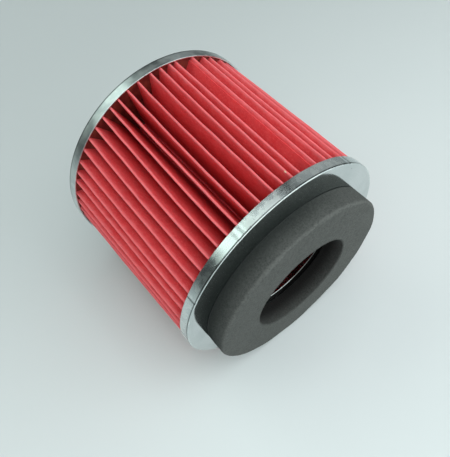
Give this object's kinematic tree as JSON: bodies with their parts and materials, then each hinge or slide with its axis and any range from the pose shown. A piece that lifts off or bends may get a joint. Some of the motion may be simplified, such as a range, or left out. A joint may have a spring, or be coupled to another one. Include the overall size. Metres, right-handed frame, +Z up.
{
  "type": "motorcycle air filter element",
  "caption": "Round pleated-paper air filter element with plated steel end caps, one open end and an off-centre foam gasket.",
  "frame": {"origin": "on the surface the filter lies on, under the middle of the whole element", "axes": "+Z up with the filter lying on its side on its two rims; the filter's axis is parallel to Y, with the open end and its foam gasket facing -Y and the closed end facing +Y"},
  "size_m": [0.108, 0.1002, 0.108],
  "materials": {
    "plated_steel": "polished",
    "red_paper": "matte",
    "charcoal_foam": "matte",
    "cast_adhesive": "satin",
    "cream_glue": "satin",
    "core_steel": "satin"
  },
  "bodies": {
    "root": {"front_end_cap": "plated_steel", "rear_end_cap": "plated_steel", "pleated_media": "red_paper", "seam_glue": "cream_glue", "inner_core": "core_steel", "front_potting": "cast_adhesive", "rear_potting": "cast_adhesive", "foam_gasket": "charcoal_foam", "gasket_film": "cream_glue"}
  },
  "joints": []
}
